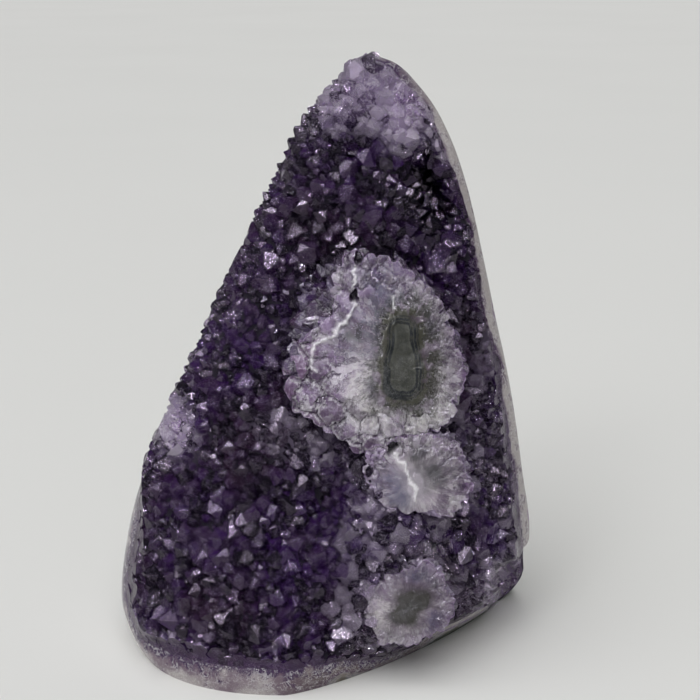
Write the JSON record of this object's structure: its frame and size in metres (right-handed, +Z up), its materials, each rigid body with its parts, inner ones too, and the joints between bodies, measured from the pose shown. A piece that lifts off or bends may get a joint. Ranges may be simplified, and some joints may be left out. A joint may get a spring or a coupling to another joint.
{
  "type": "amethyst cluster",
  "caption": "Standing amethyst cluster: a tapering block of geode wall with a flat sawn foot, a druse of violet quartz points and stalactites ground across to show their cores.",
  "frame": {"origin": "a point in the middle of the flat sawn foot, in the plane that the cluster stands on", "axes": "+Z up along the height, -Y towards the viewer of the crystal front, +X to that viewer's right"},
  "size_m": [0.1176, 0.0765, 0.16],
  "materials": {
    "amethyst": "natural violet quartz points, glassy",
    "pale_quartz": "lilac to white quartz, ground and polished",
    "stalactite_core": "grey-green chalcedony, polished",
    "rind": "agate and quartz edge over basalt, ground smooth"
  },
  "bodies": {
    "root": {"amethyst_cluster": "amethyst"}
  },
  "joints": []
}
